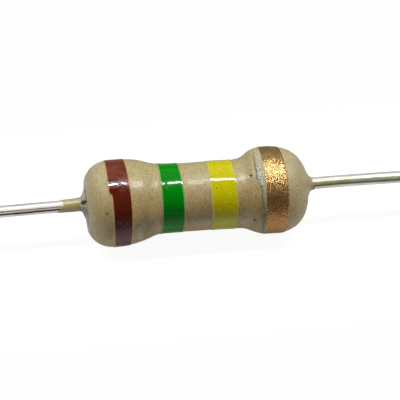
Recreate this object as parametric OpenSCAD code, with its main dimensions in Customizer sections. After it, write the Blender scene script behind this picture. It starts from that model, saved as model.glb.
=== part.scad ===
// Carbon-film axial resistor of half-watt size: a ceramic rod with a helically trimmed film, two pressed
// caps with welded wire leads, a dog-bone coat of lacquer and four painted colour bands.
// The leads run along X. The origin is the middle of the body, on the axis of its rod.

/* [Ceramic rod] */
// Diameter of the ceramic rod
rod_d = 2.4; // [1.8:0.05:3]
// Chamfer on the rod's two rims
rod_chamfer = 0.12; // [0.04:0.02:0.2]

/* [Carbon film] */
// Thickness of the resistive film
film_t = 0.03; // [0.02:0.005:0.06]
// Width of the trim groove along the rod
groove_w = 0.26; // [0.1:0.02:0.5]
// Distance from one turn of the groove to the next
groove_pitch = 0.74; // [0.6:0.02:0.9]
// Number of whole turns in the groove
groove_turns = 4; // [2:1:4]

/* [End caps] */
// Wall of the pressed caps
cap_wall = 0.22; // [0.15:0.01:0.35]
// Length of a cap, from its rim to its end face
cap_len = 1.7; // [1.3:0.05:1.8]
// Radius on the outer corner of a cap
cap_corner = 0.4; // [0.25:0.05:0.5]

/* [Leads] */
// Diameter of the wire
lead_d = 0.46; // [0.4:0.02:0.6]
// Length of a lead, from the end face of the body to its tip
lead_len = 28; // [10:1:38]
// How far the leads are welded above the middle of their caps
lead_rise = 0.14; // [0:0.02:0.2]
// Diameter of the weld where a lead meets its cap
weld_d = 0.8; // [0.7:0.05:1]
// Length of the weld's taper
weld_len = 0.2; // [0.1:0.05:0.3]
// How much the wire is swollen beside its weld, running out where it leaves the lacquer
weld_swell = 0.015; // [0.005:0.005:0.03]
// Bevel left by the cutter on a lead's tip
tip_bevel = 0.04; // [0.02:0.01:0.08]

/* [Lacquer coat] */
// Length of the lacquered body between its end faces
body_len = 8.72; // [8.6:0.02:10]
// Lacquer on the film, at the waist
waist_cover = 0.105; // [0.08:0.005:0.2]
// Lacquer on the sides of the caps, at the bulges
bulge_cover = 0.24; // [0.2:0.01:0.35]
// Lacquer on the end faces of the caps
end_cover = 0.51; // [0.45:0.01:0.6]
// Length over which the left end rounds off
left_round_len = 1.16; // [1.05:0.01:1.3]
// Length over which the right end rounds off
right_round_len = 1.59; // [1.4:0.02:1.8]
// Fullness of the left end's curve, where 2 is a circle
left_fullness = 2.5; // [2:0.1:3]
// Fullness of the right end's curve, where 2 is a circle
right_fullness = 2.8; // [2.2:0.1:3]
// Radius of the flat on the left end face
left_flat_r = 0.54; // [0.4:0.02:0.7]
// Radius of the flat on the right end face
right_flat_r = 0.32; // [0.26:0.02:0.5]
// Distance from the left cap's rim to the middle of its shoulder
left_shoulder_gap = 0.18; // [0.1:0.01:0.3]
// Distance from the right cap's rim to the middle of its shoulder
right_shoulder_gap = 0.09; // [0.05:0.01:0.2]

/* [Lacquer necks] */
// Lacquer on a lead where its neck leaves the body
neck_root_cover = 0.04; // [0.03:0.005:0.06]
// Lacquer on a lead near the tip of its neck
neck_tip_cover = 0.02; // [0.01:0.005:0.03]
// Length of the feathered lip at a neck's tip
neck_lip = 0.06; // [0.02:0.01:0.1]
// How far the lacquer creeps along the left lead
left_neck_len = 0.96; // [0.5:0.01:1.5]
// How far the lacquer creeps along the right lead
right_neck_len = 0.23; // [0.2:0.01:1]
// Length of the fillet between the left neck and the body
left_fillet_len = 0.25; // [0.1:0.01:0.4]
// Length of the fillet between the right neck and the body
right_fillet_len = 0.18; // [0.1:0.01:0.2]
// Width of the fillet round the left neck
left_fillet_w = 0.26; // [0.2:0.02:0.4]
// Width of the fillet round the right neck
right_fillet_w = 0.16; // [0.1:0.02:0.3]

/* [Colour bands] */
// Distance from one band's middle to the next
band_pitch = 2.03; // [1.9:0.01:2.1]
// How far the four bands as a set sit left of the middle
band_shift = 0.03; // [0:0.01:0.1]
// Thickness of the paint
band_t = 0.02; // [0.02:0.005:0.06]
// Width of the brown band, the first digit
brown_w = 0.81; // [0.6:0.01:1]
// Width of the green band, the second digit
green_w = 0.84; // [0.6:0.01:1.1]
// Width of the yellow band, the multiplier
yellow_w = 0.97; // [0.6:0.01:1.1]
// Width of the gold band, the tolerance
gold_w = 0.88; // [0.6:0.01:1.1]
// Paint missing along part of the brown band's outer edge
brown_step_w = 0.12; // [0.06:0.02:0.3]

/* [Flaws in the lacquer] */
// Gap of the crack round the left neck
crack_w = 0.04; // [0.02:0.01:0.08]
// Depth of the crack round the left neck
crack_depth = 0.14; // [0.05:0.01:0.2]
// Diameter of the hole in the crack
hole_d = 0.16; // [0.1:0.02:0.22]
// Height of the lifted scar beside the gold band
scar_h = 0.03; // [0.01:0.01:0.06]
// Diameter of the pinholes in the right shoulder
pinhole_d = 0.09; // [0.05:0.01:0.12]
// Depth of the pinholes in the right shoulder
pinhole_depth = 0.07; // [0.03:0.01:0.08]

/* [Hidden] */
$fn = 96;

// Radii and stations along X that follow from the sizes above
half_len = body_len / 2;
rod_r = rod_d / 2;
film_r = rod_r + film_t;
cap_r = film_r + cap_wall;
waist_r = film_r + waist_cover;
bulge_r = cap_r + bulge_cover;
lead_r = lead_d / 2;
cap_face_x = half_len - end_cover;
cap_rim_x = cap_face_x - cap_len;
rod_half = cap_face_x - cap_wall;
lead_tip_x = half_len + lead_len;
left_shoulder_x = cap_rim_x - left_shoulder_gap;
right_shoulder_x = cap_rim_x - right_shoulder_gap;
left_crown_x = half_len - left_round_len;
right_crown_x = half_len - right_round_len;

// How softly each shoulder runs out, first on the bulge's side and then on the waist's
left_softness = [0.3, 0.22];
right_softness = [0.155, 0.14];

// Sides of the film's facets, and the groove's start at the left
film_sides = 36;
groove_start_x = -groove_turns * groove_pitch / 2;

// Steps along the coat's outline: one angle in the rounded ends, one length between them
end_step = 7.5;
side_step = 0.12;

// Angles round X, counted up from the front
brown_step_from = -120;
brown_step_to = 57;
crack_from = -33;
crack_to = 134;
hole_at = 49;
scar_from = -60;
scar_middle = 56;
scar_to = 150;

// Pinholes in the right shoulder: place along X and angle up from the front
pinholes = [[2.08, 68], [2.11, -2]];

// Share of the bulge that is left at a distance past a shoulder's middle, towards the waist
function shoulder(past, softness) = 1 / (1 + exp(past / (past < 0 ? softness[0] : softness[1])));

// Radius of the coat's sides, before the ends round off
function side_r(x) =
    waist_r + (bulge_r - waist_r) * (shoulder(left_shoulder_x + x, left_softness)
                                     + shoulder(right_shoulder_x - x, right_softness));

// Radius of an end that rounds off from r to flat_r, where t runs from 0 at the crown to 1 at the end face
function round_off(r, flat_r, t, fullness) = flat_r + (r - flat_r) * sqrt(max(0, 1 - pow(t, fullness)));

// Radius of the coat at any place along X
function coat_r(x) =
    x < -left_crown_x
        ? round_off(side_r(x), left_flat_r, (-x - left_crown_x) / left_round_len, left_fullness)
    : x > right_crown_x
        ? round_off(side_r(x), right_flat_r, (x - right_crown_x) / right_round_len, right_fullness)
    : side_r(x);

// Places along X where the coat's outline has a point, closer together where an end turns in
side_steps = ceil((left_crown_x + right_crown_x) / side_step);
stations = concat(
    [for (a = [0:end_step:90 - end_step]) -left_crown_x - left_round_len * cos(a)],
    [for (i = [0:side_steps]) -left_crown_x + (left_crown_x + right_crown_x) * i / side_steps],
    [for (a = [90 - end_step:-end_step:0]) right_crown_x + right_round_len * cos(a)]);

// Turns a shape made round Z so that it lies round X
module along_x() {
    rotate([0, 90, 0]) children();
}

// A profile revolved round X, drawn as [radius, x]
module turned() {
    along_x() rotate_extrude() children();
}

// The same, only between two angles counted up from the front
module turned_between(from, to) {
    along_x() rotate([0, 0, -90 - to]) rotate_extrude(angle = to - from) children();
}

// What belongs to a lead lies on the lead's own axis
module on_lead() {
    translate([0, 0, lead_rise]) children();
}

// Half section of the coat's body, grown outwards by a paint's thickness
module coat_half(grow = 0) {
    polygon(concat([[0, -half_len]], [for (x = stations) [coat_r(x) + grow, x]], [[0, half_len]]));
}

// Half section of a cap's outside, for the right end
module cap_half() {
    translate([0, cap_rim_x]) square([cap_r, cap_len - cap_corner]);
    translate([0, cap_rim_x]) square([cap_r - cap_corner, cap_len]);
    translate([cap_r - cap_corner, cap_face_x - cap_corner]) circle(cap_corner);
}

// Half section of a lead with its weld, for the right end. Its bare part is a true cylinder.
module lead_half(neck_len) {
    polygon([[0, cap_face_x], [weld_d / 2, cap_face_x], [lead_r + weld_swell, cap_face_x + weld_len],
             [lead_r, half_len + neck_len], [lead_r, lead_tip_x - tip_bevel],
             [lead_r - tip_bevel, lead_tip_x], [0, lead_tip_x]]);
}

// Half section of a neck of lacquer, for the right end: a hollow fillet, then a sleeve that thins out
module neck_half(neck_len, fillet_len, fillet_w) {
    root_r = lead_r + neck_root_cover;
    root_x = half_len - neck_root_cover;
    buried_x = cap_face_x + weld_len;
    fillet = [for (a = [0:15:90]) [root_r + fillet_w * (1 - sin(a)), root_x + fillet_len * (1 - cos(a))]];
    polygon(concat([[0, buried_x], [root_r + fillet_w, buried_x]], fillet,
                   [[lead_r + neck_tip_cover, half_len + neck_len - neck_lip],
                    [lead_r, half_len + neck_len], [0, half_len + neck_len]]));
}

// Half section of the scar: a low crest on the coat between two places along X
module scar_half(from, to) {
    xs = [for (i = [0:8]) from + (to - from) * i / 8];
    polygon(concat([[waist_r, from]],
                   [for (x = xs) [coat_r(x) + scar_h * sin(180 * (x - from) / (to - from)), x]],
                   [[waist_r, to]]));
}

// Place of the middle of a band, where 0 is the first from the left
function band_x(i) = (i - 1.5) * band_pitch - band_shift;

// Ring of paint on the coat
module paint_ring(x, w) {
    turned() intersection() {
        difference() {
            coat_half(band_t);
            coat_half();
        }
        translate([0, x - w / 2]) square([bulge_r + 1, w]);
    }
}

// A radial spike at a place along X and an angle up from the front, for pinholes
module spike(x, angle, d, depth) {
    rotate([-angle, 0, 0]) translate([x, depth - coat_r(x), 0]) rotate([90, 0, 0])
        cylinder(d = d, h = 2 * depth);
}

module ceramic_rod() {
    color("white") turned() polygon([[0, -rod_half], [rod_r - rod_chamfer, -rod_half],
                                     [rod_r, -rod_half + rod_chamfer], [rod_r, rod_half - rod_chamfer],
                                     [rod_r - rod_chamfer, rod_half], [0, rod_half]]);
}

// The film is a tube cut through by a helical groove. It is built in columns along X, one at each corner
// of its facets. The groove crosses a column once a turn, a little further along than on the one before.
module carbon_film() {
    inner_r = rod_r / cos(180 / film_sides);
    end_x = rod_half - rod_chamfer;
    last = 2 * groove_turns + 3;
    // Points on a column: one end of the tube, both edges of every crossing, and the other end
    function edges(i) = concat([-end_x],
        [for (k = [0:groove_turns]) for (s = [-0.5, 0.5])
            groove_start_x + groove_pitch * (i / film_sides + k) + s * groove_w],
        [end_x]);
    function skin(r) = [for (i = [0:film_sides - 1]) for (x = edges(i))
        [x, r * cos(360 * i / film_sides), r * sin(360 * i / film_sides)]];
    // A point is [column, edge], and has one number on the inner skin and one on the outer
    function inner(p) = p[0] * (last + 1) + p[1];
    function outer(p) = inner(p) + film_sides * (last + 1);
    // A strip of film lies between two crossings. On column 0 the groove starts and ends, so a strip's side
    // there also holds the points of that start or end. One turn on, each crossing is the next one.
    function side(i, j, turn) =
        let (from = j == 0 ? 0 : 2 * (j + turn), to = j == groove_turns ? last : 2 * (j + turn) + 1)
        i == 0 ? [for (e = [from:to]) [i, e]] : [[i, from], [i, to]];
    function near_side(i, j) = side(i, j, 0);
    function far_side(i, j) = i == film_sides - 1 ? side(0, j, 1) : side(i + 1, j, 0);
    function final(list) = list[len(list) - 1];
    // Triangles that cover the strip between its two sides
    function strip(near, far) = concat(
        [for (e = [1:len(near) - 1]) [near[e - 1], near[e], far[0]]],
        [for (e = [1:len(far) - 1]) [final(near), far[e], far[e - 1]]]);
    // Triangles that join the skins from point a to point b
    function wall(a, b) = [[outer(a), outer(b), inner(b)], [outer(a), inner(b), inner(a)]];
    strips = [for (i = [0:film_sides - 1]) for (j = [0:groove_turns]) [near_side(i, j), far_side(i, j)]];
    cover = [for (s = strips) each strip(s[0], s[1])];
    color("dimgray") polyhedron(
        points = concat(skin(inner_r), skin(film_r)),
        faces = concat(
            [for (t = cover) [outer(t[0]), outer(t[1]), outer(t[2])]],
            [for (t = cover) [inner(t[2]), inner(t[1]), inner(t[0])]],
            [for (s = strips) each wall(s[0][0], s[1][0])],
            [for (s = strips) each wall(final(s[1]), final(s[0]))],
            wall([0, 1], [0, 2]),
            wall([0, last - 1], [0, last - 2])));
}

module end_cap() {
    color("silver") turned() difference() {
        cap_half();
        square([film_r, rod_half]);
    }
}

module left_end_cap() {
    mirror([1, 0, 0]) end_cap();
}

module right_end_cap() {
    end_cap();
}

module lead(neck_len) {
    color("lightgray") on_lead() turned() lead_half(neck_len);
}

module left_lead() {
    mirror([1, 0, 0]) lead(left_neck_len);
}

module right_lead() {
    lead(right_neck_len);
}

// One half of what the lacquer is coated on
module coated_core(neck_len) {
    turned() square([film_r, rod_half]);
    turned() cap_half();
    lead(neck_len);
}

// The crack that follows the fillet round the left neck, and the hole where it gapes
module neck_crack() {
    crack_r = lead_r + neck_root_cover + left_fillet_w - crack_w;
    on_lead() {
        turned_between(crack_from, crack_to)
            translate([crack_r, -half_len - crack_depth]) square([crack_w, 2 * crack_depth]);
        rotate([-hole_at, 0, 0]) translate([-half_len, -crack_r + hole_d / 2, 0]) sphere(d = hole_d);
    }
}

// The lifted edge of lacquer along the gold band: narrow in front, wider further up
module scar() {
    band_edge = band_x(3) - gold_w / 2;
    turned_between(scar_from, scar_middle) scar_half(band_edge - 0.14, band_edge);
    turned_between(scar_middle, scar_to) scar_half(band_edge - 0.28, band_edge);
}

module lacquer_coat() {
    color("tan") difference() {
        union() {
            turned() coat_half();
            mirror([1, 0, 0]) on_lead() turned() neck_half(left_neck_len, left_fillet_len, left_fillet_w);
            on_lead() turned() neck_half(right_neck_len, right_fillet_len, right_fillet_w);
            scar();
        }
        coated_core(right_neck_len);
        mirror([1, 0, 0]) coated_core(left_neck_len);
        neck_crack();
        for (p = pinholes) spike(p[0], p[1], pinhole_d, pinhole_depth);
    }
}

module brown_band() {
    left_edge = band_x(0) - brown_w / 2;
    color("maroon") difference() {
        paint_ring(band_x(0), brown_w);
        turned_between(brown_step_from, brown_step_to)
            translate([waist_r, left_edge - brown_step_w]) square([bulge_r, 2 * brown_step_w]);
    }
}

module green_band() {
    color("green") paint_ring(band_x(1), green_w);
}

module yellow_band() {
    color("gold") paint_ring(band_x(2), yellow_w);
}

module gold_band() {
    color("peru") paint_ring(band_x(3), gold_w);
}

ceramic_rod();
carbon_film();
left_end_cap();
right_end_cap();
left_lead();
right_lead();
lacquer_coat();
brown_band();
green_band();
yellow_band();
gold_band();
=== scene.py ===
"""Axial resistor with a dog-bone coat of lacquer, four painted bands and tinned wire leads.

Everything is laid out along X about the middle of the body. Lengths are written in millimetres and
angles in degrees, counted up from the front round X. The finished meshes are in metres.
"""
import math

import bpy
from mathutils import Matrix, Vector


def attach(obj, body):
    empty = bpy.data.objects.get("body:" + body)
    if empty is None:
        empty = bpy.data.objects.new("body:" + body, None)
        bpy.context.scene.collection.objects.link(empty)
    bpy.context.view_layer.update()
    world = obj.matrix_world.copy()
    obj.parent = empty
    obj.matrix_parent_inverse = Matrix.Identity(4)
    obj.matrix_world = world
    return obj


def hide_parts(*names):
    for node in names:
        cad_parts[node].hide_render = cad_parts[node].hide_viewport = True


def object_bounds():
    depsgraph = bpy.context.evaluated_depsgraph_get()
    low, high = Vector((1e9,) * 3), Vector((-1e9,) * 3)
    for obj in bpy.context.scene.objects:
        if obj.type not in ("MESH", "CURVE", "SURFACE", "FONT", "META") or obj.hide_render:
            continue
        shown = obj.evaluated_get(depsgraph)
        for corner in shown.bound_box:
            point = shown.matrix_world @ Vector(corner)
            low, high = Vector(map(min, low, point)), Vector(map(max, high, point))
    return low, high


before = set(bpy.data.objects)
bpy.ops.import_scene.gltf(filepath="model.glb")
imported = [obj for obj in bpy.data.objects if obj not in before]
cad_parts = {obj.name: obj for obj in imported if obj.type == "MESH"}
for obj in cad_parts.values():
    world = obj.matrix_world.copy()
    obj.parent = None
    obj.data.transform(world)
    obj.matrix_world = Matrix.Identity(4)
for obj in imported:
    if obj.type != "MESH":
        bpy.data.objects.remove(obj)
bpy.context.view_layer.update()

MM = 0.001
ONE_DEGREE = math.pi / 180

# Sizes of the body, as in the part's source
HALF_LEN = 4.36
FILM_R = 1.23
CAP_R = 1.45
CAP_CORNER = 0.4
CAP_FACE_X = 3.85
CAP_RIM_X = 2.15
WAIST_R = 1.335
BULGE_R = 1.69
LEFT_SHOULDER_X = 1.97
RIGHT_SHOULDER_X = 2.06
LEFT_CROWN_X = 3.2
RIGHT_CROWN_X = 2.77
LEFT_ROUND_LEN = 1.16
RIGHT_ROUND_LEN = 1.59
LEFT_FULLNESS = 2.5
RIGHT_FULLNESS = 2.8
LEFT_FLAT_R = 0.54
RIGHT_FLAT_R = 0.32

# Sizes of the leads and of the lacquer's necks round them
LEAD_R = 0.23
LEAD_TIP_X = 32.36
LEAD_RISE = 0.14
WELD_R = 0.4
WELD_LEN = 0.2
WELD_SWELL = 0.015
TIP_BEVEL = 0.04
NECK_ROOT_COVER = 0.04
NECK_TIP_COVER = 0.02
NECK_LIP = 0.06
LEFT_NECK_LEN = 0.96
RIGHT_NECK_LEN = 0.27

# The hollow of each neck from its sleeve to the body, as (x, radius). The left one ends in a crease, where
# its foot has come away from the body.
LEFT_HOLLOW = [(4.57, 0.27), (4.5, 0.285), (4.44, 0.337), (4.39, 0.45), (4.36, 0.524), (4.31, 0.615),
               (4.272, 0.667), (4.254, 0.683), (4.262, 0.7), (4.283, 0.745), (4.29, 0.8), (4.284, 0.87),
               (4.268, 0.95)]
RIGHT_HOLLOW = [(4.53, 0.268), (4.49, 0.282), (4.45, 0.328), (4.41, 0.408), (4.36, 0.512), (4.335, 0.58)]
CREASE_R = 0.683

# Places of the bands' edges along X
BROWN_EDGES = (-3.51, -2.59)
GREEN_EDGES = (-1.44, -0.53)
YELLOW_EDGES = (0.49, 1.52)
GOLD_EDGES = (2.6, 3.48)

# How finely the body's pieces and the leads are turned, and how far the dipped coat strays
STEPS_ROUND = 320
LEAD_STEPS_ROUND = 96
WAVINESS = 0.006

# How the coat's middle strays, as (x, rise) up the slope that faces the light, and which way that slope
# points. A curve node holds values from 0 to 1, so its ends along X and its gain are given too.
MIDDLE_RISES = [(-4.5, 0.02), (-3.12, 0.019), (-1.72, 0.052), (-1.09, 0.029), (0, 0), (0.78, -0.01),
                (1.56, -0.036), (1.87, -0.03), (2.3, 0.006), (2.81, 0.006), (3.3, -0.02), (3.75, -0.02),
                (4.5, 0.02)]
CURVE_END = 4.5
CURVE_GAIN = 5
SLOPE_Y = 0.695
SLOPE_Z = 0.719

# What each point of a half section says, after its place
SECTION_TRAITS = ("on_coat", "lead_share", "neck_tip")

# The pinholes in the right shoulder, as (x, angle)
PINHOLES = [(2.08, 68), (2.11, -2)]
# The dark of the pinholes is a painted shade in the pits; three small dark specks in front take it too
PIT_COLOUR = (0.05, 0.03, 0.015)
# Pale specks low on the brown band are painted glints
PAINTED_GLINT_COLOUR = (0.42, 0.27, 0.24)
GRAIN_SIZE = 0.052

# Angles of the bead of varnish on the bands, and of the ridge that the brown paint dried in
BEAD_ANGLE = 68
RIDGE_ANGLE = 72.8


# Writing node trees

def worked_out(operation, swapped=False):
    """A sign's method on a figure, which writes the sum as a math node."""
    def method(self, other):
        terms = (other, self) if swapped else (self, other)
        return self.bench.math(operation, *terms)
    return method


class Figure:
    """A number or vector that a node tree works out. Sums written on it become nodes."""

    def __init__(self, bench, socket):
        self.bench = bench
        self.socket = socket

    __add__ = worked_out("ADD")
    __radd__ = worked_out("ADD", swapped=True)
    __sub__ = worked_out("SUBTRACT")
    __rsub__ = worked_out("SUBTRACT", swapped=True)
    __mul__ = worked_out("MULTIPLY")
    __rmul__ = worked_out("MULTIPLY", swapped=True)
    __truediv__ = worked_out("DIVIDE")
    __rtruediv__ = worked_out("DIVIDE", swapped=True)
    __pow__ = worked_out("POWER")


def found(sockets, key):
    """A node's socket, by its number, its identifier or its name."""
    if isinstance(key, int):
        return sockets[key]
    by_identifier = [socket for socket in sockets if socket.identifier == key]
    return by_identifier[0] if by_identifier else sockets[key]


class Bench:
    """Places nodes in one tree and joins them up."""

    def __init__(self, tree):
        self.tree = tree

    def node(self, kind, inputs=None, **settings):
        made = self.tree.nodes.new(kind)
        for name, value in settings.items():
            setattr(made, name, value)
        for key, value in (inputs or {}).items():
            self.feed(made, key, value)
        return made

    def feed(self, node, key, value):
        """Joins a figure to a socket, or sets a plain value on it. A colour is written without its alpha."""
        socket = found(node.inputs, key)
        if isinstance(value, Figure):
            self.tree.links.new(value.socket, socket)
        elif socket.type == "RGBA" and len(value) == 3:
            socket.default_value = (*value, 1)
        else:
            socket.default_value = value

    def figure(self, node, key=0):
        return Figure(self, found(node.outputs, key))

    def made(self, kind, inputs=None, out=0, **settings):
        """What a new node puts out."""
        return self.figure(self.node(kind, inputs, **settings), out)

    def math(self, operation, *terms):
        return self.made("ShaderNodeMath", dict(enumerate(terms)), operation=operation)

    def vector_math(self, operation, *terms):
        return self.made("ShaderNodeVectorMath", dict(enumerate(terms)), operation=operation)

    def scaled(self, vector, factor):
        return self.made("ShaderNodeVectorMath", {0: vector, "Scale": factor}, operation="SCALE")

    def mapped(self, value, start, end, low, high, **settings):
        return self.made("ShaderNodeMapRange", {
            "Value": value, "From Min": start, "From Max": end, "To Min": low, "To Max": high}, **settings)

    def step(self, value, start, end, low=0, high=1):
        """Turns softly from low to high while the value goes from start to end."""
        return self.mapped(value, start, end, low, high, interpolation_type="SMOOTHSTEP")

    def ramp(self, value, start, end, low=0, high=1):
        """Turns evenly from low to high while the value goes from start to end."""
        return self.mapped(value, start, end, low, high, clamp=True)

    def crest(self, value, middle, width):
        """A bell that is 1 at the middle and dies out over a few widths."""
        away = (value - middle) / width
        return self.math("EXPONENT", away * away * -1)

    def band(self, value, middle, half, soft):
        """1 within half a width of the middle and 0 outside it, with a soft edge."""
        return self.step(self.math("ABSOLUTE", value - middle), half + soft, half - soft)

    def larger(self, first, second):
        return self.math("MAXIMUM", first, second)

    def smaller(self, first, second):
        return self.math("MINIMUM", first, second)

    def reach(self, first, second):
        """How far away a point lies that is the two lengths aside."""
        return self.math("SQRT", first * first + second * second)

    def parts(self, vector):
        split = self.node("ShaderNodeSeparateXYZ", {0: vector})
        return [self.figure(split, i) for i in range(3)]

    def joined(self, x, y, z):
        return self.made("ShaderNodeCombineXYZ", {0: x, 1: y, 2: z})

    def angle(self, y, z):
        """Angle of a point round X, in degrees up from the front."""
        return self.math("DEGREES", self.math("ARCTAN2", z, y * -1))

    def noise(self, place, size, detail=2, roughness=0.5, distortion=0):
        """Noise whose lumps are about as large as the size, in millimetres."""
        return self.made("ShaderNodeTexNoise", {
            "Vector": place, "Scale": 1 / size, "Detail": detail, "Roughness": roughness,
            "Distortion": distortion}, "Fac")

    def wander(self, place, size, share, detail=2):
        """Noise about zero, which strays half the share either way at the most."""
        return (self.noise(place, size, detail) - 0.5) * share

    def mixed(self, share, first, second):
        """A colour between the first and the second."""
        return self.made("ShaderNodeMix", {
            "Factor_Float": share, "A_Color": first, "B_Color": second}, "Result_Color", data_type="RGBA")

    def overlaid(self, colour, coats):
        """A colour with others laid over it in turn, each where its mask says."""
        for mask, tint in coats:
            colour = self.mixed(mask, colour, tint)
        return colour

    def group(self, tree, **inputs):
        """What another tree puts out, placed in this one. An underscore stands for the space in a name."""
        made = self.node(self.tree.bl_idname.replace("Tree", "Group"), node_tree=tree)
        for name, value in inputs.items():
            self.feed(made, made.inputs[name.replace("_", " ")].identifier, value)
        figures = [self.figure(made, i) for i in range(len(made.outputs))]
        return figures if len(figures) > 1 else figures[0]

    def put_out(self, **figures):
        """Ends a tree with what it puts out, and gives the tree."""
        end = self.node("NodeGroupOutput")
        for name, value in figures.items():
            self.feed(end, name.replace("_", " "), value)
        return self.tree


SOCKETS = {float: "Float", int: "Int"}


def new_tree(name, kind, inputs, outputs):
    """The bench of a new node tree, and its named inputs as figures.

    An input is given by its value, or by its kind where it has none.
    """
    tree = bpy.data.node_groups.new(name, kind + "NodeTree")
    for socket_name, value in inputs.items():
        socket_type = value if isinstance(value, str) else SOCKETS[type(value)]
        socket = tree.interface.new_socket(socket_name, in_out="INPUT",
                                           socket_type="NodeSocket" + socket_type)
        if socket_type != value:
            socket.default_value = value
    for socket_name, socket_type in outputs.items():
        tree.interface.new_socket(socket_name, in_out="OUTPUT", socket_type="NodeSocket" + socket_type)
    b = Bench(tree)
    entry = b.node("NodeGroupInput")
    return b, {socket.name: Figure(b, socket) for socket in entry.outputs if socket.name}


# The coat's outline and its unevenness, shared by the coat and the paint on it

def ring(b, x, angle, radius):
    """A place on a ring about X, where noise that goes round closes on itself."""
    turn = b.math("RADIANS", angle)
    return b.joined(x, b.math("COSINE", turn) * radius, b.math("SINE", turn) * radius)


def make_outline_tree():
    """Radius of the lacquered body and the wander of its middle, at a place along X and an angle."""
    b, given = new_tree(
        "lacquer_outline", "Geometry",
        {"Station": 0.0, "Angle": 0.0,
         "Waist Radius": WAIST_R, "Bulge Radius": BULGE_R,
         "Waviness": WAVINESS},
        {"Radius": "Float", "Middle Y": "Float", "Middle Z": "Float"})
    x = given["Station"]
    angle = given["Angle"]
    swell = given["Bulge Radius"] - given["Waist Radius"]

    def shoulder(past, bulge_side, waist_side):
        softness = b.math("GREATER_THAN", past, 0) * (waist_side - bulge_side) + bulge_side
        return 1 / (b.math("EXPONENT", past / softness) + 1)

    def turned_in(past_crown, length, fullness):
        t = b.larger(past_crown / length, 0)
        return b.math("SQRT", b.larger(1 - t ** fullness, 0))

    side = given["Waist Radius"] + swell * (shoulder(x + LEFT_SHOULDER_X, 0.3, 0.22)
                                            + shoulder(RIGHT_SHOULDER_X - x, 0.155, 0.14))
    left = turned_in(x * -1 - LEFT_CROWN_X, LEFT_ROUND_LEN, LEFT_FULLNESS)
    right = turned_in(x - RIGHT_CROWN_X, RIGHT_ROUND_LEN, RIGHT_FULLNESS)
    radius = side - (side - LEFT_FLAT_R) * (1 - left) - (side - RIGHT_FLAT_R) * (1 - right)

    # Lacquer gathers over the rims of the caps, and the dipped coat is never quite even
    place = ring(b, x, angle, 1.5)
    broad = b.noise(place, 1.1, detail=1) - 0.5
    fine = b.noise(place, 0.34) - 0.5
    rim_x = x + b.wander(place, 0.5, 0.1, detail=1)
    rim = b.crest(rim_x, -CAP_RIM_X, 0.045) * 0.007 + b.crest(rim_x, CAP_RIM_X, 0.04) * 0.003
    radius = radius + given["Waviness"] * (broad * 2.4 + fine * 0.7) + rim

    # The middle of the coat wanders up and down the slope that faces the light
    middle_curve = b.node("ShaderNodeFloatCurve", {"Value": (x + CURVE_END) / (CURVE_END * 2)})
    curve = middle_curve.mapping.curves[0]
    while len(curve.points) < len(MIDDLE_RISES):
        curve.points.new(0.5, 0.5)
    for point, (station, rise) in zip(curve.points, MIDDLE_RISES):
        point.location = ((station + CURVE_END) / (CURVE_END * 2), 0.5 + rise * CURVE_GAIN)
    middle_curve.mapping.update()
    rise = (b.figure(middle_curve) - 0.5) / CURVE_GAIN
    return b.put_out(Radius=radius, Middle_Y=rise * SLOPE_Y, Middle_Z=rise * SLOPE_Z)


outline_tree = make_outline_tree()


def around(b, x, radius, angle, middle_y, middle_z):
    """The place at a radius and an angle about a middle that may lie off the axis."""
    turn = b.math("RADIANS", angle)
    return b.joined(x, middle_y - radius * b.math("COSINE", turn), middle_z + radius * b.math("SINE", turn))


def coat_at(b, given, x, angle, waviness):
    """Radius of the coat at a place along X and an angle, and how far its middle lies aside and up."""
    return b.group(outline_tree, Station=x, Angle=angle, Waist_Radius=given["Waist Radius"],
                   Bulge_Radius=given["Bulge Radius"], Waviness=waviness)


def lead_sag(b, x):
    """How far a lead hangs out of straight: the left one a little all along, the right one in a bow."""
    left = b.step(x, -4.4, -4.9) * b.step(x, -30, -14) * 0.022
    return left + b.step(x, 4.8, 9.6) * b.step(x, 28, 11) * 0.1


def turning_grid(b, section, steps):
    """A grid with a row for each point of the half section, and each grid point's row and angle."""
    count = b.made("GeometryNodeAttributeDomainSize", {"Geometry": section}, "Point Count", component="MESH")
    columns = steps + 1
    grid = b.made("GeometryNodeMeshGrid", {
        "Vertices X": count, "Vertices Y": columns, "Size X": 1, "Size Y": 1}, "Mesh")
    index = b.made("GeometryNodeInputIndex")
    row = b.math("FLOOR", (index + 0.5) / columns)
    column = index - row * columns
    angle = b.math("WRAP", column * 360 / steps, 180, -180)
    return grid, row, angle


def sampled(b, section, row, value, data_type="FLOAT"):
    """What the half section says at each row of the grid."""
    return b.made("GeometryNodeSampleIndex", {"Geometry": section, "Value": value, "Index": row},
                  data_type=data_type, domain="POINT")


def mesh_trait(b, name):
    """A value that is stored on the points of a mesh."""
    return b.made("GeometryNodeInputNamedAttribute", {"Name": name}, "Attribute", data_type="FLOAT")


def stored(b, mesh, **traits):
    """The mesh with the values stored on its points, for its finish."""
    for name, value in traits.items():
        mesh = b.made("GeometryNodeStoreNamedAttribute", {"Geometry": mesh, "Name": name, "Value": value},
                      data_type="FLOAT", domain="POINT")
    return mesh


def finished(b, mesh, material):
    """Ends a tree: closes the seams, brings the mesh to metres and gives it its material."""
    merged = b.made("GeometryNodeMergeByDistance", {"Geometry": mesh, "Distance": 0.00002})
    metres = b.made("GeometryNodeTransform", {"Geometry": merged, "Scale": (MM, MM, MM)})
    single = b.made("GeometryNodeRealizeInstances", {"Geometry": metres})
    painted = b.made("GeometryNodeSetMaterial", {"Geometry": single, "Material": material})
    return b.put_out(Geometry=painted)


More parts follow.
